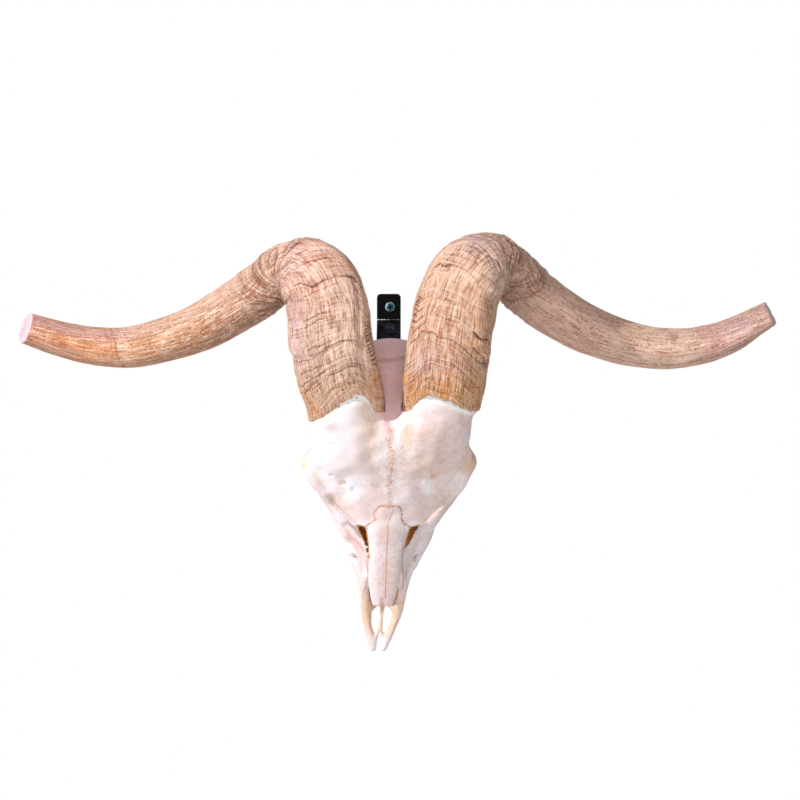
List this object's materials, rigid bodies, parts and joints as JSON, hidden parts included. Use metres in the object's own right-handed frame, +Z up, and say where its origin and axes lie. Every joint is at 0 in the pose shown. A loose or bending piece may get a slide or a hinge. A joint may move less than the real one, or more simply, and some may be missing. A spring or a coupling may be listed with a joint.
{
  "type": "mounted ram skull",
  "caption": "Horned ram skull hung nose down: bleached skull with wide outswept spiral horn sheaths on bony cores, upper cheek teeth, and a folded steel strap hanger held by a screw.",
  "frame": {"origin": "a point on the flat back face of the wall hanger's tab, 6.2 mm under the middle of its screw hole; the wall is the plane y = 0", "axes": "+Z up, +X to the right of someone facing the skull, +Y into the wall, so the forehead looks towards -Y and the nose hangs down"},
  "size_m": [0.5751, 0.1819, 0.3143],
  "materials": {
    "bone": "dry bleached bone, matt and slightly porous, ivory with pinkish and ochre patches",
    "horn": "dry weathered horn keratin, satin, amber and tan with fine growth rings",
    "tooth enamel": "ivory enamel with brown stain in the folds",
    "black steel": "black painted steel strap, worn bright along the fold",
    "zinc plate": "zinc plated screw head with scuffed rim"
  },
  "bodies": {
    "root": {"skull": "bone", "horn_sheath_left": "horn", "horn_sheath_right": "horn", "tooth_left_1": "tooth enamel", "tooth_left_2": "tooth enamel", "tooth_left_3": "tooth enamel", "tooth_left_4": "tooth enamel", "tooth_left_5": "tooth enamel", "tooth_left_6": "tooth enamel", "tooth_right_1": "tooth enamel", "tooth_right_2": "tooth enamel", "tooth_right_3": "tooth enamel", "tooth_right_4": "tooth enamel", "tooth_right_5": "tooth enamel", "tooth_right_6": "tooth enamel", "wall_hanger": "black steel", "hanger_screw": "zinc plate"}
  },
  "joints": []
}
